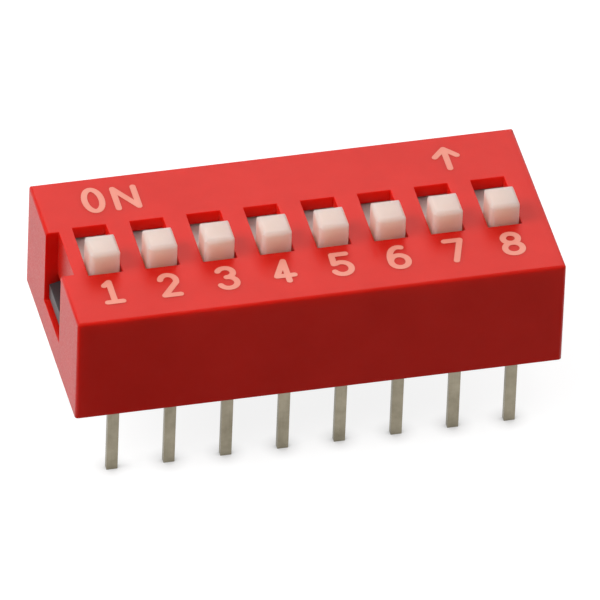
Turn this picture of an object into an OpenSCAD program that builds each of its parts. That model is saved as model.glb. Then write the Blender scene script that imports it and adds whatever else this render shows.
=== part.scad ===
// Slide-type DIP switch for through-hole boards, with raised knobs.
//
// X runs along the row of switches, Y from the numbered OFF side to the ON side, Z up.
// The origin lies on the board's surface, in the middle of the switch's footprint.
// All sliders stand at OFF. Units are millimetres.
//
// How it works: each slider carries a small spring contact. At OFF both feet of the contact
// stand on the front terminal's pad. At ON its back foot has crossed the gap in the floor and
// stands on the back terminal's pad, so the contact bridges the two.

/* [Row] */
// Number of switches in the row
positions = 8; // [1:1:12]
// Distance from one switch to the next, which is also the pitch of the pins
pitch = 2.54; // [2.4:0.01:3.2]
// Distance between the front row of pins and the back row
row_spacing = 7.62; // [6.3:0.01:10.2]

/* [Cover] */
// Height of the cover, from its lower rim to its top face
cover_height = 5.2; // [4.4:0.1:7]
// Thickness of the top wall, which the windows go through
top_wall = 0.6; // [0.4:0.05:1]
// Thickness of the front wall and of the back wall
side_wall = 0.9; // [0.6:0.05:1.5]
// Thickness of each end wall
end_wall = 0.9; // [0.7:0.05:1.5]
// Radius of the cover's outer edges
edge_radius = 0.15; // [0.05:0.01:0.3]
// Radius of the upright corners inside the cover, and of the base's corners
corner_radius = 0.3; // [0.1:0.05:0.5]

/* [Snap latch] */
// Width of the openings in the end walls, and of the groove above the left-hand one
latch_width = 3; // [1.5:0.1:5]
// Depth of the groove, which marks the end with switch 1
groove_depth = 0.58; // [0.3:0.01:0.7]
// Height of the sill that the base's lug hooks over, above the cover's rim
sill_height = 1.5; // [0.8:0.1:1.7]
// Height of the opening between the sill and the web above it
latch_opening = 1.4; // [1:0.1:1.8]
// How far the lug reaches out over the sill
latch_grip = 0.38; // [0.1:0.01:0.5]
// Height of the slope on top of the lug, which lets the cover snap on
lug_slope = 0.2; // [0.05:0.05:0.4]

/* [Sliders] */
// Width of a knob, along the row
knob_width = 1.35; // [1:0.05:1.8]
// Length of a knob, along its travel
knob_length = 1.4; // [1:0.05:2]
// Height of a knob above the cover
knob_height = 1.05; // [0.5:0.05:2]
// Radius of a knob's edges
knob_radius = 0.22; // [0.05:0.01:0.3]
// Travel from OFF to ON
travel = 1.85; // [1.2:0.05:2.6]
// Length of the skirt that slides on the ledges
skirt_length = 3.5; // [2.8:0.1:4.4]
// Thickness of the shutter on top of the skirt, which keeps the window closed
shutter_thickness = 0.5; // [0.3:0.05:0.8]
// How far the shutter reaches under the cover past either end of its window
shutter_overlap = 0.1; // [0.05:0.05:0.3]
// Depth of the pocket under the skirt that holds the contact
pocket_depth = 0.4; // [0.2:0.05:0.6]
// Radius of the peg that the contact hangs on
peg_radius = 0.2; // [0.1:0.01:0.3]
// How far the peg stands out below the contact
peg_end = 0.1; // [0:0.01:0.2]

/* [Base] */
// Height of the feet that hold the switch off the board
feet_height = 0.4; // [0.2:0.05:1]
// Length of each foot, front to back
feet_length = 6; // [3:0.1:6.5]
// Width of each foot, along the row
feet_width = 1; // [0.5:0.1:2]
// Distance from the base's end to the nearest foot
feet_inset = 0.2; // [0:0.1:1]
// Thickness of the floor that the terminals lie in
floor_thickness = 2.1; // [1.6:0.1:2.6]
// Height of the ledges that the sliders run on, above the floor
ledge_height = 0.6; // [0.4:0.05:0.8]
// Width of the partition between two switches, up to the ledges
ledge_rib = 1.1; // [0.8:0.05:1.2]
// Width of the partition above the ledges
rib_width = 0.44; // [0.3:0.01:0.6]
// Thickness of the base's front wall and of its back wall
base_wall = 0.55; // [0.4:0.05:0.8]

/* [Terminals] */
// Thickness of the sheet that the terminals are cut from
terminal_sheet = 0.3; // [0.2:0.01:0.4]
// Width of the pad that the contact slides on
pad_width = 1.1; // [0.9:0.05:1.3]
// Width of the shoulders that stand in the base
shoulder_width = 0.9; // [0.7:0.05:1.1]
// Width of a pin
pin_width = 0.5; // [0.3:0.05:0.6]
// Length of a pin below the board's surface
pin_length = 3.5; // [2:0.1:5]
// Inner radius of the bend between the pad and the leg
terminal_bend = 0.15; // [0.1:0.01:0.3]
// Thickness of the base under the shoulders
shoulder_seat = 0.3; // [0.2:0.05:0.6]
// Gap between the front pad and the back pad
pad_gap = 0.5; // [0.3:0.05:1]
// Length of pad left behind the contact's back foot at OFF
pad_margin = 0.15; // [0.05:0.01:0.3]

/* [Contacts] */
// Thickness of the spring strip
contact_sheet = 0.12; // [0.08:0.01:0.16]
// Width of the strip
contact_width = 1.0; // [0.8:0.05:1.1]
// Length of the flat part that lies in the pocket
contact_flat = 0.9; // [0.8:0.05:1.2]
// Distance between the two feet
foot_spacing = 2.8; // [2.4:0.05:3]
// Radius of the bend at the flat part, to the middle of the strip
arm_bend = 0.15; // [0.1:0.01:0.2]
// Radius of a foot, to the middle of the strip
foot_bend = 0.2; // [0.12:0.01:0.25]
// Angle by which the tip turns up
tip_angle = 50; // [20:1:70]
// Length of the straight tip
tip_length = 0.12; // [0.05:0.01:0.3]
// Width of the slit that splits each arm in two
slit_width = 0.2; // [0.1:0.05:0.3]

/* [Clearances] */
// Between a knob and the sides of its window
knob_gap = 0.075; // [0.03:0.005:0.15]
// Between a knob and the ends of its window, at each end of its travel
stop_gap = 0.05; // [0.02:0.01:0.2]
// Around a slider's skirt and shutter, to the ledges, the partitions and the cover
glide_gap = 0.05; // [0.02:0.01:0.1]
// Between the base and the inside of the cover
base_gap = 0.05; // [0.02:0.01:0.1]
// Between the lug and the sides of the cover's opening
latch_gap = 0.1; // [0.05:0.01:0.2]
// Between the lug and the sill below it, and the web above it
latch_play = 0.25; // [0.05:0.05:0.3]
// Between a terminal and its seat in the base
insert_gap = 0.02; // [0.01:0.01:0.05]
// From a leg's outer face to the side of the base
leg_setback = 0.04; // [0.02:0.01:0.1]
// Between the contact and the sides of its pocket and its peg
contact_gap = 0.04; // [0.02:0.01:0.08]
// Between the contact's feet and the pads
foot_gap = 0.02; // [0.01:0.005:0.04]

/* [Hidden] */
$fn = 48;

// How far a cut runs on past the face that it opens
cut = 1;

// Levels above the board
rim_z = feet_height;
top_z = rim_z + cover_height;
ceiling_z = top_z - top_wall;
floor_z = rim_z + floor_thickness;
ledge_z = floor_z + ledge_height;
skirt_z = ledge_z + glide_gap;
shutter_top_z = ceiling_z - glide_gap;
shutter_z = shutter_top_z - shutter_thickness;
pocket_z = skirt_z + pocket_depth;
sill_z = rim_z + sill_height;
web_z = sill_z + latch_opening;
lug_z = sill_z + latch_play;
lug_top_z = min(web_z - latch_play, ledge_z);
pad_z = floor_z - terminal_sheet;
shoulder_z = rim_z + shoulder_seat;

// Distances from the middle, front to back
leg_y = row_spacing / 2;
leg_inner_y = leg_y - terminal_sheet / 2;
leg_outer_y = leg_y + terminal_sheet / 2;
base_y = leg_outer_y + leg_setback;
channel_y = base_y - base_wall;
cavity_y = base_y + base_gap;
cover_y = cavity_y + side_wall;
off_y = -travel / 2;

// Distances from the middle, along the row
cavity_x = (positions * pitch - rib_width) / 2;
base_x = cavity_x - base_gap;
cover_x = cavity_x + end_wall;
groove_x = cover_x - groove_depth;
feet_x = base_x - feet_inset - feet_width / 2;

// The window follows the knob, the skirt and the shutter fill their channel, and the shutter
// is as long as its window asks for, or as the cover leaves room for
window_width = knob_width + 2 * knob_gap;
window_length = knob_length + travel + 2 * stop_gap;
skirt_width = pitch - rib_width - 2 * glide_gap;
shutter_length = min(
    window_length + travel + 2 * shutter_overlap,
    2 * (cavity_y - glide_gap) - travel
);
channel_width = pitch - ledge_rib;

// The pads follow the contact's feet
front_pad_end = off_y + foot_spacing / 2 + pad_margin;
back_pad_start = front_pad_end + pad_gap;

// The contact's arm is a straight line that touches both of its bends
strip_z = pocket_z - contact_sheet / 2;
arm_bend_centre = [contact_flat / 2, strip_z - arm_bend];
foot_centre = [foot_spacing / 2, floor_z + foot_gap + contact_sheet / 2 + foot_bend];
bend_span = foot_centre - arm_bend_centre;
arm_angle = atan2(-bend_span.y, bend_span.x) + asin((arm_bend + foot_bend) / norm(bend_span));
arm_length = sqrt(bend_span * bend_span - pow(arm_bend + foot_bend, 2));
// The pocket ends where the arm's upper face has come down to the skirt's underside
arm_drop = strip_z - arm_bend * (1 - cos(arm_angle)) - skirt_z;
pocket_y = contact_flat / 2 + arm_bend * sin(arm_angle) + arm_drop / tan(arm_angle)
    + contact_sheet / 2 / sin(arm_angle) + contact_gap;

red = "#e2403a";
black = "#26262a";
cream = "#f2ddca";
tinned_brass = "#a39b80";
bronze = "#c98f4e";

// Place along the row of switch i, counted from 1
function row_x(i) = (i - (positions + 1) / 2) * pitch;

// ---- Shapes that are used more than once ----

// A rectangle about the origin with round corners
module rounded_rectangle(size, radius) {
    square([size.x - 2 * radius, size.y], center = true);
    square([size.x, size.y - 2 * radius], center = true);
    for (x = [-1, 1], y = [-1, 1])
        translate([x * (size.x / 2 - radius), y * (size.y / 2 - radius)])
            circle(radius);
}

// An upright outline with two round top corners; it runs on below z = 0
module round_topped(width, height, radius) {
    translate([0, height / 2 - radius])
        rounded_rectangle([width, height + 2 * radius], radius);
}

// A block on z = 0 whose upright edges and top edges are round
module rounded_block(size, radius) {
    intersection() {
        linear_extrude(size.z)
            rounded_rectangle([size.x, size.y], radius);
        rotate([90, 0, 0])
            linear_extrude(size.y + 2 * cut, center = true)
                round_topped(size.x, size.z, radius);
        rotate([90, 0, 90])
            linear_extrude(size.x + 2 * cut, center = true)
                round_topped(size.y, size.z, radius);
    }
}

// A box given by its middle in plan, its size in plan, and its lower and upper level
module column(centre, size, from_z, to_z) {
    translate([centre.x - size.x / 2, centre.y - size.y / 2, from_z])
        cube([size.x, size.y, to_z - from_z]);
}

// A profile drawn in Y and Z, made as wide as given, about x = 0
module side_profile(width) {
    rotate([90, 0, 90])
        linear_extrude(width, center = true)
            children();
}

// A bend in a strip: it starts at the origin, heads along X and turns left about [0, radius]
module strip_bend(radius, thickness, angle) {
    reach = 2 * (radius + thickness);
    translate([0, radius])
        intersection() {
            difference() {
                circle(radius + thickness / 2);
                circle(radius - thickness / 2);
            }
            translate([0, -reach])
                square([reach, 2 * reach]);
            rotate(angle)
                translate([-reach, -reach])
                    square([reach, 2 * reach]);
        }
}

// A strip of sheet seen from its edge, bent along a path that starts at the origin along X.
// Each step is [length] for a flat stretch, or [radius, angle] for a bend of under half a turn,
// to the left where the angle is positive. Radii reach to the middle of the sheet.
module bent_strip(thickness, path, done = 0) {
    if (done < len(path)) {
        step = path[done];
        if (len(step) == 1) {
            translate([0, -thickness / 2])
                square([step[0], thickness]);
            translate([step[0], 0])
                bent_strip(thickness, path, done + 1);
        } else {
            mirror([0, step[1] < 0 ? 1 : 0])
                strip_bend(step[0], thickness, abs(step[1]));
            translate([0, sign(step[1]) * step[0]])
                rotate(step[1])
                    translate([0, -sign(step[1]) * step[0]])
                        bent_strip(thickness, path, done + 1);
        }
    }
}

// Everything that is alike at both ends, or front and back
module both(axis) {
    children();
    mirror(axis) children();
}

// ---- Cover ----

// The window that a knob stands in
module knob_window() {
    column([0, 0], [window_width, window_length], ceiling_z - cut, top_z + cut);
}

// The right-hand latch: the opening for the lug, and the lug's way in from below
module latch_cuts() {
    column([(cavity_x + groove_x) / 2, 0], [groove_x - cavity_x, latch_width], rim_z - cut, web_z);
    column([(cavity_x + cover_x) / 2, 0], [end_wall + 2 * cut, latch_width], sill_z, web_z);
}

// The groove from the left-hand opening up to the top
module end_groove() {
    column([-(groove_x + cover_x + cut) / 2, 0], [groove_depth + cut, latch_width], sill_z, top_z + cut);
}

module cover() {
    color(red)
        difference() {
            translate([0, 0, rim_z])
                rounded_block([2 * cover_x, 2 * cover_y, cover_height], edge_radius);
            translate([0, 0, rim_z - cut])
                linear_extrude(ceiling_z - rim_z + cut)
                    rounded_rectangle([2 * cavity_x, 2 * cavity_y], corner_radius);
            for (i = [1 : positions])
                translate([row_x(i), 0, 0])
                    knob_window();
            both([1, 0, 0]) latch_cuts();
            end_groove();
        }
}

// ---- Base ----

// The right-hand lug: flat below, where it hooks over the sill, and sloped above
module lug() {
    nose_x = groove_x + latch_grip;
    nose_z = lug_top_z - min(lug_slope, (lug_top_z - lug_z) / 2);
    rotate([90, 0, 0])
        linear_extrude(latch_width - 2 * latch_gap, center = true)
            polygon([
                [base_x - base_wall / 2, lug_z],
                [nose_x, lug_z],
                [nose_x, nose_z],
                [base_x, lug_top_z],
                [base_x - base_wall / 2, lug_top_z]
            ]);
}

// The seat that a back terminal drops into from above; pad_start is its pad's inner end
module terminal_seat(pad_start) {
    column(
        [0, (pad_start - insert_gap + base_y + cut) / 2],
        [pad_width + 2 * insert_gap, base_y + cut - pad_start + insert_gap],
        pad_z, ledge_z + cut
    );
    side_profile(shoulder_width + 2 * insert_gap)
        polygon([
            [leg_inner_y - insert_gap, shoulder_z],
            [leg_inner_y - insert_gap, pad_z - terminal_bend - insert_gap],
            [leg_inner_y - terminal_bend - 2 * insert_gap, pad_z],
            [leg_inner_y - terminal_bend - 2 * insert_gap, pad_z + terminal_sheet],
            [base_y + cut, pad_z + terminal_sheet],
            [base_y + cut, shoulder_z]
        ]);
    column(
        [0, (leg_inner_y - insert_gap + base_y + cut) / 2],
        [pin_width + 2 * insert_gap, base_y + cut - leg_inner_y + insert_gap],
        rim_z - cut, shoulder_z + terminal_sheet
    );
}

// What one switch takes out of the base
module switch_cuts() {
    column([0, 0], [channel_width, 2 * channel_y], floor_z, ledge_z + cut);
    terminal_seat(back_pad_start);
    mirror([0, 1, 0]) terminal_seat(-front_pad_end);
}

module base() {
    color(black)
        difference() {
            union() {
                translate([0, 0, rim_z])
                    linear_extrude(ledge_z - rim_z)
                        rounded_rectangle([2 * base_x, 2 * base_y], corner_radius);
                if (positions > 1)
                    for (i = [1 : positions - 1])
                        column([row_x(i) + pitch / 2, 0], [rib_width, 2 * base_y], floor_z, ceiling_z);
                for (x = [-feet_x, 0, feet_x])
                    column([x, 0], [feet_width, feet_length], 0, floor_z);
                both([1, 0, 0]) lug();
            }
            for (i = [1 : positions])
                translate([row_x(i), 0, 0])
                    switch_cuts();
        }
}

// ---- Slider, at OFF ----

module slider() {
    color(cream)
        translate([0, off_y, 0]) {
            difference() {
                union() {
                    translate([0, 0, skirt_z])
                        linear_extrude(shutter_top_z - skirt_z)
                            rounded_rectangle([skirt_width, skirt_length], knob_radius);
                    translate([0, 0, shutter_z])
                        linear_extrude(shutter_thickness)
                            rounded_rectangle([skirt_width, shutter_length], knob_radius);
                    translate([0, 0, skirt_z])
                        rounded_block([knob_width, knob_length, top_z + knob_height - skirt_z], knob_radius);
                }
                column([0, 0], [contact_width + 2 * contact_gap, 2 * pocket_y], skirt_z - cut, pocket_z);
            }
            translate([0, 0, pocket_z - contact_sheet - peg_end])
                cylinder(h = contact_sheet + peg_end, r = peg_radius);
        }
}

// ---- Contact, at OFF ----

// Half of the contact's side view: flat part, arm, foot and turned-up tip
module contact_half() {
    translate([0, strip_z])
        bent_strip(contact_sheet, [
            [contact_flat / 2],
            [arm_bend, -arm_angle],
            [arm_length],
            [foot_bend, arm_angle + tip_angle],
            [tip_length]
        ]);
}

module contact() {
    slit_start = pocket_y;
    slit_end = foot_spacing / 2 + foot_bend + tip_length + cut;
    color(bronze)
        translate([0, off_y, 0])
            difference() {
                side_profile(contact_width)
                    both([1, 0]) contact_half();
                translate([0, 0, strip_z - contact_sheet])
                    cylinder(h = 2 * contact_sheet, r = peg_radius + contact_gap);
                both([0, 1, 0])
                    column(
                        [0, (slit_start + slit_end) / 2], [slit_width, slit_end - slit_start],
                        floor_z - cut, pocket_z + cut
                    );
            }
}

// ---- Terminals ----

// The back terminal's side view: a flat pad that bends down into a leg
module terminal_side(pad_start) {
    outer_bend = terminal_bend + terminal_sheet;
    translate([pad_start, floor_z - terminal_sheet / 2])
        bent_strip(terminal_sheet, [
            [leg_outer_y - outer_bend - pad_start],
            [terminal_bend + terminal_sheet / 2, -90],
            [floor_z - outer_bend + pin_length]
        ]);
}

// The terminal's front view: pad, shoulders and pin, each as wide as it is
module terminal_front_view() {
    translate([-pad_width / 2, pad_z])
        square([pad_width, terminal_sheet]);
    translate([-shoulder_width / 2, shoulder_z])
        square([shoulder_width, pad_z - shoulder_z]);
    translate([-pin_width / 2, -pin_length])
        square([pin_width, shoulder_z + pin_length]);
}

// A back terminal; pad_start is its pad's inner end
module terminal(pad_start) {
    color(tinned_brass)
        intersection() {
            side_profile(pad_width)
                terminal_side(pad_start);
            rotate([90, 0, 0])
                linear_extrude(2 * (row_spacing + cut), center = true)
                    terminal_front_view();
        }
}

module terminal_back() {
    terminal(back_pad_start);
}

module terminal_front() {
    mirror([0, 1, 0]) terminal(-front_pad_end);
}

// ---- The switch ----

cover();
base();
for (i = [1 : positions])
    translate([row_x(i), 0, 0]) {
        slider();
        contact();
        terminal_front();
        terminal_back();
    }
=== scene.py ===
"""Looks, light and camera for the slide DIP switch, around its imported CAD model."""

import math

import bmesh
import bpy
from mathutils import Matrix, Vector
from mathutils.geometry import delaunay_2d_cdt


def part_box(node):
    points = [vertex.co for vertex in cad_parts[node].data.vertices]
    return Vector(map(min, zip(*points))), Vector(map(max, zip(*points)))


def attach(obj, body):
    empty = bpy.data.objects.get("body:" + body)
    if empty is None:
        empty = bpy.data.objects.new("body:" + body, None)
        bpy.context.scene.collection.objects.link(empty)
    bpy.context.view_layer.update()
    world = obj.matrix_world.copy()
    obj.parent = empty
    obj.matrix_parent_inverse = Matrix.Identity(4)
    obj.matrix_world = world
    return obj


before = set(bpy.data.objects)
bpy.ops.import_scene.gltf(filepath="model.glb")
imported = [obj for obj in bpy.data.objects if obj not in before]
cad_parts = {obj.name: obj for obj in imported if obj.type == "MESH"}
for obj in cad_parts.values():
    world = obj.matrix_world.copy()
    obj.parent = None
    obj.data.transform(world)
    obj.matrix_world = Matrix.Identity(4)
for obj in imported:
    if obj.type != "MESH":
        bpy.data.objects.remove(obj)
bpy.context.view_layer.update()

MM = 0.001
POSITIONS = sum(1 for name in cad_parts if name.startswith("slider_"))


def add_object(name, data):
    """A new object that shows the given mesh, lamp or camera."""
    made = bpy.data.objects.new(name, data)
    bpy.context.scene.collection.objects.link(made)
    return made


# ---- Places on the object, all taken from the frame ----

cover_low, cover_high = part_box("cover")
pin_tip_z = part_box("terminal_front_1")[0].z
top_z = cover_high.z


def knob_centre_x(number):
    """The middle of a switch along the row."""
    low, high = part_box(f"slider_{number}")
    return (low.x + high.x) / 2


# ---- Materials: the scale of a noise is about how many of its grains lie in a metre ----

NOISE_LOW = 0.3
NOISE_HIGH = 0.7

CLOUD_SCALE = 350
CLOUD_DETAIL = 4
GRAIN_DETAIL = 3
PLASTIC_NOISE_ROUGHNESS = 0.6

STAIN_SCALE = 900
STAIN_DETAIL = 5
STAIN_NOISE_ROUGHNESS = 0.65
LINE_SCALE = 14000
LINE_DETAIL = 4
LINE_NOISE_ROUGHNESS = 0.6
LINE_STRETCH = 0.03
LINE_RELIEF = 0.002 * MM


def new_material(name):
    """An empty node material and its Principled shader."""
    material = bpy.data.materials.new(name)
    material.use_nodes = True
    return material, material.node_tree.nodes["Principled BSDF"]


def add_noise(material, scale, detail, roughness, stretch=(1, 1, 1)):
    """A noise texture in the object's own metres, so its grain doesn't slide or stretch."""
    nodes, links = material.node_tree.nodes, material.node_tree.links
    place = nodes.new("ShaderNodeTexCoord")
    mapping = nodes.new("ShaderNodeMapping")
    mapping.inputs["Scale"].default_value = stretch
    noise = nodes.new("ShaderNodeTexNoise")
    noise.inputs["Scale"].default_value = scale
    noise.inputs["Detail"].default_value = detail
    noise.inputs["Roughness"].default_value = roughness
    links.new(place.outputs["Object"], mapping.inputs["Vector"])
    links.new(mapping.outputs["Vector"], noise.inputs["Vector"])
    return noise.outputs["Fac"]


def add_ramp(material, noise, dark, light):
    """A colour that goes from dark to light as a noise goes from low to high."""
    ramp = material.node_tree.nodes.new("ShaderNodeValToRGB")
    ramp.color_ramp.elements[0].position = NOISE_LOW
    ramp.color_ramp.elements[0].color = (*dark, 1)
    ramp.color_ramp.elements[1].position = NOISE_HIGH
    ramp.color_ramp.elements[1].color = (*light, 1)
    material.node_tree.links.new(noise, ramp.inputs["Fac"])
    return ramp.outputs["Color"]


def add_range(material, noise, least, most):
    """A number that goes from least to most as a noise goes from low to high."""
    span = material.node_tree.nodes.new("ShaderNodeMapRange")
    span.inputs["From Min"].default_value = NOISE_LOW
    span.inputs["From Max"].default_value = NOISE_HIGH
    span.inputs["To Min"].default_value = least
    span.inputs["To Max"].default_value = most
    material.node_tree.links.new(noise, span.inputs["Value"])
    return span.outputs["Result"]


def add_bump(material, shader, noise, relief):
    """Fine relief of a given height, in metres."""
    bump = material.node_tree.nodes.new("ShaderNodeBump")
    bump.inputs["Distance"].default_value = relief
    material.node_tree.links.new(noise, bump.inputs["Height"])
    material.node_tree.links.new(bump.outputs["Normal"], shader.inputs["Normal"])


def moulded_plastic(name, dark, light, rough, grain, relief, tint=(1, 1, 1)):
    """Moulded plastic: cloudy colour, spark-eroded grain and uneven gloss."""
    material, shader = new_material(name)
    clouds = add_noise(material, CLOUD_SCALE, CLOUD_DETAIL, PLASTIC_NOISE_ROUGHNESS)
    texture = add_noise(material, grain, GRAIN_DETAIL, PLASTIC_NOISE_ROUGHNESS)
    link = material.node_tree.links.new
    link(add_ramp(material, clouds, dark, light), shader.inputs["Base Color"])
    link(add_range(material, texture, *rough), shader.inputs["Roughness"])
    shader.inputs["Specular Tint"].default_value = (*tint, 1)
    add_bump(material, shader, texture, relief)
    return material


def let_light_in(plastic, tint, depth):
    """Lets light spread under the surface of a plastic, as deep as given where the tint is 1."""
    shader = plastic.node_tree.nodes["Principled BSDF"]
    shader.inputs["Subsurface Weight"].default_value = 1.0
    shader.inputs["Subsurface Radius"].default_value = tint
    shader.inputs["Subsurface Scale"].default_value = depth


def sheet_metal(name, dark, light, rough, stretch):
    """Rolled strip: fine lines along the strip, and dull cloudy patches."""
    material, shader = new_material(name)
    stains = add_noise(material, STAIN_SCALE, STAIN_DETAIL, STAIN_NOISE_ROUGHNESS)
    lines = add_noise(material, LINE_SCALE, LINE_DETAIL, LINE_NOISE_ROUGHNESS, stretch)
    link = material.node_tree.links.new
    link(add_ramp(material, stains, dark, light), shader.inputs["Base Color"])
    link(add_range(material, lines, *rough), shader.inputs["Roughness"])
    shader.inputs["Metallic"].default_value = 1.0
    add_bump(material, shader, lines, LINE_RELIEF)
    return material


red_plastic = moulded_plastic(
    "red_plastic",
    dark=(0.72, 0.012, 0.006),
    light=(0.78, 0.017, 0.010),
    rough=(0.30, 0.46),
    grain=15000,
    relief=0.003 * MM,
    tint=(1, 0.12, 0.08),
)
black_plastic = moulded_plastic(
    "black_plastic",
    dark=(0.018, 0.018, 0.020),
    light=(0.028, 0.027, 0.029),
    rough=(0.35, 0.5),
    grain=14000,
    relief=0.003 * MM,
)
cream_plastic = moulded_plastic(
    "cream_plastic",
    dark=(0.86, 0.60, 0.50),
    light=(0.90, 0.65, 0.55),
    rough=(0.32, 0.45),
    grain=16000,
    relief=0.001 * MM,
)
print_ink = moulded_plastic(
    "print_ink",
    dark=(0.92, 0.29, 0.21),
    light=(0.97, 0.37, 0.28),
    rough=(0.5, 0.65),
    grain=12000,
    relief=0.002 * MM,
)
let_light_in(red_plastic, tint=(1.0, 0.1, 0.06), depth=0.5 * MM)
let_light_in(cream_plastic, tint=(1.0, 0.85, 0.75), depth=3.0 * MM)
pin_metal = sheet_metal(
    "pin_metal",
    dark=(0.22, 0.195, 0.14),
    light=(0.34, 0.305, 0.23),
    rough=(0.26, 0.52),
    stretch=(1, 1, LINE_STRETCH),
)
spring_metal = sheet_metal(
    "spring_metal",
    dark=(0.62, 0.34, 0.14),
    light=(0.80, 0.50, 0.24),
    rough=(0.20, 0.40),
    stretch=(1, LINE_STRETCH, 1),
)

# ---- The CAD nodes: their own material, and edges broken as moulding or blanking leaves them ----

COVER_EDGE = 0.03 * MM
SMALL_EDGE = 0.02 * MM
CONTACT_EDGE = 0.01 * MM
EDGE_SEGMENTS = 2
EDGE_ANGLE = math.radians(30)
FLAT_ANGLE = math.radians(0.5)
SAME_CORNER = 0.0001 * MM
SLIVER_WIDTH = 0.0006 * MM
LARGE_FACE_WEIGHT = 100


def dress(node_name, material, edge_width):
    """Gives a CAD node its material and slightly rounded edges, with no slivers between them."""
    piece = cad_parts[node_name]
    piece.data.materials.clear()
    piece.data.materials.append(material)
    weld = piece.modifiers.new("weld", "WELD")
    weld.merge_threshold = SAME_CORNER
    flatten = piece.modifiers.new("flatten", "DECIMATE")
    flatten.decimate_type = "DISSOLVE"
    flatten.angle_limit = FLAT_ANGLE
    bevel = piece.modifiers.new("edges", "BEVEL")
    bevel.width = edge_width
    bevel.segments = EDGE_SEGMENTS
    bevel.limit_method = "ANGLE"
    bevel.angle_limit = EDGE_ANGLE
    slivers = piece.modifiers.new("slivers", "WELD")
    slivers.merge_threshold = SLIVER_WIDTH
    flat_look = piece.modifiers.new("flat_look", "WEIGHTED_NORMAL")
    flat_look.mode = "FACE_AREA"
    flat_look.weight = LARGE_FACE_WEIGHT
    for face in piece.data.polygons:
        face.use_smooth = True


dress("cover", red_plastic, COVER_EDGE)
dress("base", black_plastic, SMALL_EDGE)
for number in range(1, POSITIONS + 1):
    dress(f"slider_{number}", cream_plastic, SMALL_EDGE)
    dress(f"contact_{number}", spring_metal, CONTACT_EDGE)
    dress(f"terminal_front_{number}", pin_metal, SMALL_EDGE)
    dress(f"terminal_back_{number}", pin_metal, SMALL_EDGE)

# ---- Printed marks on the cover: pad-printed strokes of even width, with round ends ----

INK_HEIGHT = 0.012 * MM
STROKE = 0.27 * MM
BOW_STEP_DEGREES = 12
ROUND_STEP = math.radians(20)
SHARP_TURN = math.radians(35)
QUARTER_TURN = math.pi / 2
HALF_TURN = math.pi
FULL_TURN = 2 * math.pi
SAME_POINT = 0.0001 * MM

# For joining a mark's strokes: which triangles to keep, a tolerance in millimetres, and how far,
# in radians, two faces may lean apart and still become one
INSIDE_ONLY = 1
CROSSING_TOLERANCE = 1e-5
FLAT_INK_ANGLE = 0.01


def bow(centre_x, centre_y, radius_x, radius_y, start, end):
    """Points along part of an ellipse, between two angles in degrees."""
    steps = max(2, round(abs(end - start) / BOW_STEP_DEGREES))
    angles = [math.radians(start + (end - start) * step / steps) for step in range(steps + 1)]
    return [(centre_x + radius_x * math.cos(a), centre_y + radius_y * math.sin(a)) for a in angles]


# Each mark is a list of strokes in a cell of width 1 and height 1
MARKS = {
    "1": [[(0.12, 0.84), (0.48, 1), (0.48, 0)], [(0, 0), (1, 0)]],
    "2": [bow(0.5, 0.72, 0.5, 0.28, 165, -25) + [(0, 0), (1, 0)]],
    "3": [bow(0.5, 0.77, 0.44, 0.23, 155, -90) + bow(0.5, 0.27, 0.5, 0.27, 90, -160)],
    "4": [[(0.62, 0), (0.62, 1), (0, 0.27), (1, 0.27)]],
    "5": [[(0.92, 1), (0.12, 1), (0.08, 0.54)] + bow(0.48, 0.3, 0.52, 0.3, 125, -155)],
    "6": [bow(0.62, 0.4, 0.62, 0.6, 72, 180), bow(0.5, 0.3, 0.5, 0.3, 0, 360)],
    "7": [[(0, 1), (1, 1), (0.36, 0)]],
    "8": [bow(0.5, 0.77, 0.43, 0.23, 0, 360), bow(0.5, 0.27, 0.5, 0.27, 0, 360)],
    "O": [bow(0.5, 0.5, 0.5, 0.5, 0, 360)],
    "N": [[(0, 0), (0, 1), (1, 0), (1, 1)]],
    "arrow": [[(0.5, 0), (0.5, 1)], [(0, 0.62), (0.5, 1), (1, 0.62)]],
}


def fan(centre, radius, start, sweep):
    """A slice of a disc, from an angle and through a sweep in radians, listed anticlockwise."""
    x, y = centre
    steps = max(2, math.ceil(abs(sweep) / ROUND_STEP))
    angles = sorted(start + sweep * step / steps for step in range(steps + 1))
    rim = [(x + radius * math.cos(a), y + radius * math.sin(a)) for a in angles]
    return [centre] + rim


def bar(start, end, heading, bend_in, bend_out, half):
    """One straight length of a stroke, its ends cut along half of the bend there."""
    corners = []
    for (x, y), slant in ((start, -bend_in / 2), (end, bend_out / 2)):
        reach = half / math.cos(slant)
        aside = heading + slant + QUARTER_TURN
        across_x = reach * math.cos(aside)
        across_y = reach * math.sin(aside)
        corners.append(((x - across_x, y - across_y), (x + across_x, y + across_y)))
    (start_right, start_left), (end_right, end_left) = corners
    return [start_right, end_right, end_left, start_left]


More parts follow.
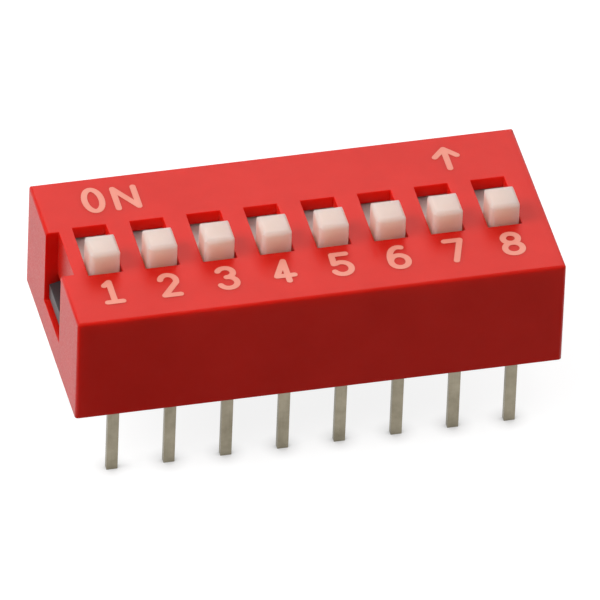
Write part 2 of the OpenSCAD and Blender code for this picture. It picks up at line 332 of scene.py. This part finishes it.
def stroke_outlines(points, width):
    """A stroke as outlines that meet edge to edge: bars, and a fan at each end and sharp turn."""
    half = width / 2
    lengths = list(zip(points, points[1:]))
    headings = [math.atan2(y1 - y0, x1 - x0) for (x0, y0), (x1, y1) in lengths]
    closed = math.dist(points[0], points[-1]) < SAME_POINT
    arriving = [headings[-1] if closed else None] + headings
    leaving = headings + [headings[0] if closed else None]
    outlines, bends = [], []
    for point, before, after in zip(points, arriving, leaving):
        bend = 0
        if before is None:
            outlines.append(fan(point, half, after + QUARTER_TURN, HALF_TURN))
        elif after is None:
            outlines.append(fan(point, half, before - QUARTER_TURN, HALF_TURN))
        else:
            bend = (after - before + HALF_TURN) % FULL_TURN - HALF_TURN
            if abs(bend) > SHARP_TURN:
                outer_side = before - math.copysign(QUARTER_TURN, bend)
                outlines.append(fan(point, half, outer_side, bend))
                bend = 0
        bends.append(bend)
    for (start, end), heading, bend_in, bend_out in zip(lengths, headings, bends, bends[1:]):
        outlines.append(bar(start, end, heading, bend_in, bend_out, half))
    return outlines


def stroke_points(stroke, centre, cell):
    """A stroke's points on the cover, without a point that repeats the one before it."""
    points = [
        (centre[0] + (x - 0.5) * cell[0], centre[1] + (y - 0.5) * cell[1])
        for x, y in stroke
    ]
    steps = zip(points, points[1:])
    return points[:1] + [here for last, here in steps if math.dist(last, here) > SAME_POINT]


def flat_mark(mark, centre, size):
    """A mark's strokes, joined into one flat form on the cover's top."""
    cell = (size[0] - STROKE, size[1] - STROKE)
    corners, faces = [], []
    for stroke in MARKS[mark]:
        for outline in stroke_outlines(stroke_points(stroke, centre, cell), STROKE):
            faces.append(list(range(len(corners), len(corners) + len(outline))))
            corners.extend(Vector(corner) / MM for corner in outline)
    united = delaunay_2d_cdt(corners, [], faces, INSIDE_ONLY, CROSSING_TOLERANCE)
    places, triangles, sources = united[0], united[2], united[5]
    form = bmesh.new()
    made = [form.verts.new((place.x * MM, place.y * MM, top_z)) for place in places]
    for triangle, source in zip(triangles, sources):
        if source:
            form.faces.new([made[corner] for corner in triangle])
    bmesh.ops.dissolve_limit(
        form, angle_limit=FLAT_INK_ANGLE, verts=form.verts, edges=form.edges
    )
    return form


def printed_mark(name, mark, centre, size):
    """A raised ink mark of a given outer size, centred on a point of the cover's top."""
    form = flat_mark(mark, centre, size)
    made = bmesh.ops.extrude_face_region(form, geom=list(form.faces))["geom"]
    raised = [part for part in made if isinstance(part, bmesh.types.BMVert)]
    bmesh.ops.translate(form, vec=(0, 0, INK_HEIGHT), verts=raised)
    bmesh.ops.recalc_face_normals(form, faces=form.faces)
    mesh = bpy.data.meshes.new(name)
    form.to_mesh(mesh)
    form.free()
    piece = add_object(name, mesh)
    piece.data.materials.append(print_ink)
    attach(piece, "housing")


NUMERAL_Y = -2.98 * MM
NUMERAL_HEIGHT = 1.64 * MM
NUMERAL_WIDTH = 1.04 * MM
NARROW_WIDTHS = {"1": 0.94 * MM, "2": 0.96 * MM, "7": 0.96 * MM}
LETTER_O_CENTRE = (-8.32 * MM, 3.37 * MM)
LETTER_O_SIZE = (1.02 * MM, 1.77 * MM)
LETTER_N_CENTRE = (-6.88 * MM, 3.31 * MM)
LETTER_N_SIZE = (1.18 * MM, 1.64 * MM)
ARROW_CENTRE = (7.48 * MM, 3.34 * MM)
ARROW_SIZE = (1.25 * MM, 1.64 * MM)

for number in range(1, POSITIONS + 1):
    numeral = str(number)
    numeral_centre = (knob_centre_x(number), NUMERAL_Y)
    numeral_size = (NARROW_WIDTHS.get(numeral, NUMERAL_WIDTH), NUMERAL_HEIGHT)
    printed_mark(f"numeral_{number}", numeral, numeral_centre, numeral_size)
printed_mark("letter_o", "O", LETTER_O_CENTRE, LETTER_O_SIZE)
printed_mark("letter_n", "N", LETTER_N_CENTRE, LETTER_N_SIZE)
printed_mark("on_arrow", "arrow", ARROW_CENTRE, ARROW_SIZE)

# ---- Floor, backdrop and light ----

FLOOR_HALF_WIDTH = 400 * MM
FLOOR_GREY = 0.32
FLOOR_ROUGHNESS = 0.9
GLOW_NEAR = 0.86
GLOW_FAR = 1.0
FADE_START = 20 * MM
FADE_END = 60 * MM
# How far the painted contact shadow on the floor reaches, round the pin tips
CONTACT_SHADOW_REACH = 0.8 * MM
CONTACT_SHADOW_SAMPLES = 16
SKY_LIGHT = 0.135
SKY_SEEN = 1.0
LAMP_DISTANCE = 250 * MM


def combine(nodes, links, operation, first, second):
    """What a maths node makes of two values."""
    maths = nodes.new("ShaderNodeMath")
    maths.operation = operation
    links.new(first, maths.inputs[0])
    links.new(second, maths.inputs[1])
    return maths.outputs[0]


def seen_rays(nodes, links):
    """1 for what the camera sees, straight, in a reflection or through glass, and 0 for light."""
    ray = nodes.new("ShaderNodeLightPath").outputs
    camera_or_glossy = combine(nodes, links, "MAXIMUM", ray["Is Camera Ray"], ray["Is Glossy Ray"])
    return combine(nodes, links, "MAXIMUM", camera_or_glossy, ray["Is Transmission Ray"])


def floor_glow(nodes, links):
    """How brightly the floor shows: full far away, less close by, with a painted shadow darkest
    where a pin meets it.
    """
    place = nodes.new("ShaderNodeNewGeometry")
    distance = nodes.new("ShaderNodeVectorMath")
    distance.operation = "LENGTH"
    links.new(place.outputs["Position"], distance.inputs[0])
    fade = nodes.new("ShaderNodeMapRange")
    fade.interpolation_type = "SMOOTHSTEP"
    fade.inputs["From Min"].default_value = FADE_START
    fade.inputs["From Max"].default_value = FADE_END
    fade.inputs["To Min"].default_value = GLOW_NEAR
    fade.inputs["To Max"].default_value = GLOW_FAR
    links.new(distance.outputs["Value"], fade.inputs["Value"])
    # Painted shadow: ambient occlusion darkens the floor's glow, most where a pin meets it
    painted_contact_shadow = nodes.new("ShaderNodeAmbientOcclusion")
    painted_contact_shadow.inputs["Distance"].default_value = CONTACT_SHADOW_REACH
    painted_contact_shadow.samples = CONTACT_SHADOW_SAMPLES
    return combine(nodes, links, "MULTIPLY", fade.outputs["Result"], painted_contact_shadow.outputs["AO"])


def floor_paper():
    """Pale paper that shows white to the eye, keeps the object's shadow, and has a painted contact
    shadow round the pin tips.
    """
    material, shader = new_material("floor_paper")
    shader.inputs["Base Color"].default_value = (FLOOR_GREY, FLOOR_GREY, FLOOR_GREY, 1)
    shader.inputs["Roughness"].default_value = FLOOR_ROUGHNESS
    shader.inputs["Specular IOR Level"].default_value = 0.0
    nodes, links = material.node_tree.nodes, material.node_tree.links
    glow = nodes.new("ShaderNodeEmission")
    links.new(floor_glow(nodes, links), glow.inputs["Strength"])
    both = nodes.new("ShaderNodeAddShader")
    choose = nodes.new("ShaderNodeMixShader")
    links.new(shader.outputs[0], both.inputs[0])
    links.new(glow.outputs[0], both.inputs[1])
    links.new(seen_rays(nodes, links), choose.inputs["Fac"])
    links.new(shader.outputs[0], choose.inputs[1])
    links.new(both.outputs[0], choose.inputs[2])
    links.new(choose.outputs[0], nodes["Material Output"].inputs["Surface"])
    return material


def floor():
    """A wide pale floor under the pins."""
    around = [(-1, -1), (1, -1), (1, 1), (-1, 1)]
    corners = [(x * FLOOR_HALF_WIDTH, y * FLOOR_HALF_WIDTH, pin_tip_z) for x, y in around]
    mesh = bpy.data.meshes.new("floor")
    mesh.from_pydata(corners, [], [(0, 1, 2, 3)])
    ground = add_object("floor", mesh)
    ground.data.materials.append(floor_paper())


def sky():
    """Even light from all round, white where the camera or a reflection sees it."""
    world = bpy.data.worlds.new("studio")
    world.use_nodes = True
    bpy.context.scene.world = world
    nodes, links = world.node_tree.nodes, world.node_tree.links
    background = nodes["Background"]
    background.inputs["Color"].default_value = (1, 1, 1, 1)
    strength = nodes.new("ShaderNodeMapRange")
    strength.inputs["To Min"].default_value = SKY_LIGHT
    strength.inputs["To Max"].default_value = SKY_SEEN
    links.new(seen_rays(nodes, links), strength.inputs["Value"])
    links.new(strength.outputs["Result"], background.inputs["Strength"])


def direction(azimuth, elevation):
    """From the object towards a place at an azimuth and an elevation in radians."""
    return Vector((
        math.sin(azimuth) * math.cos(elevation),
        -math.cos(azimuth) * math.cos(elevation),
        math.sin(elevation),
    ))


def softbox(name, azimuth, elevation, side, power):
    """A square area light that looks at the object from an azimuth and elevation in degrees."""
    lamp = bpy.data.lights.new(name, "AREA")
    lamp.size = side
    lamp.energy = power
    holder = add_object(name, lamp)
    away = direction(math.radians(azimuth), math.radians(elevation))
    holder.location = away * LAMP_DISTANCE
    holder.rotation_mode = "QUATERNION"
    holder.rotation_quaternion = away.to_track_quat("Z", "Y")


floor()
sky()
softbox("key", azimuth=167, elevation=46, side=180 * MM, power=0.175)
softbox("overhead", azimuth=-20, elevation=75, side=140 * MM, power=0.07)
softbox("left_fill", azimuth=-90, elevation=40, side=140 * MM, power=0.35)
softbox("right_fill", azimuth=75, elevation=40, side=140 * MM, power=0.10)
softbox("front_fill", azimuth=-40, elevation=50, side=80 * MM, power=0.04)

# ---- Camera: a long lens at the photograph's viewing angle ----

CAMERA_AZIMUTH = math.radians(-14.61)
CAMERA_ELEVATION = math.radians(38.73)
CAMERA_ROLL = math.radians(2.35)
CAMERA_DISTANCE = 700 * MM
CAMERA_RIGHT = 0.291 * MM
CAMERA_UP = 0.825 * MM
CLIP_START = 50 * MM
CLIP_END = 10000 * MM

# Blender takes these two in millimetres
LENS = 963.5
SENSOR_WIDTH = 36


def camera():
    """The camera, rolled about its own axis and moved a little sideways and up."""
    back = direction(CAMERA_AZIMUTH, CAMERA_ELEVATION)
    level = Vector((math.cos(CAMERA_AZIMUTH), math.sin(CAMERA_AZIMUTH), 0))
    upright = back.cross(level)
    right = math.cos(CAMERA_ROLL) * level + math.sin(CAMERA_ROLL) * upright
    up = back.cross(right)
    aim = Vector((0, 0, cover_low.z))
    place = aim + back * CAMERA_DISTANCE + right * CAMERA_RIGHT + up * CAMERA_UP
    data = bpy.data.cameras.new("camera")
    data.lens = LENS
    data.sensor_width = SENSOR_WIDTH
    data.clip_start = CLIP_START
    data.clip_end = CLIP_END
    eye = add_object("camera", data)
    turn = Matrix((right, up, back)).transposed()
    eye.matrix_world = Matrix.Translation(place) @ turn.to_4x4()
    bpy.context.scene.camera = eye


camera()
bpy.context.scene.view_settings.view_transform = "Standard"
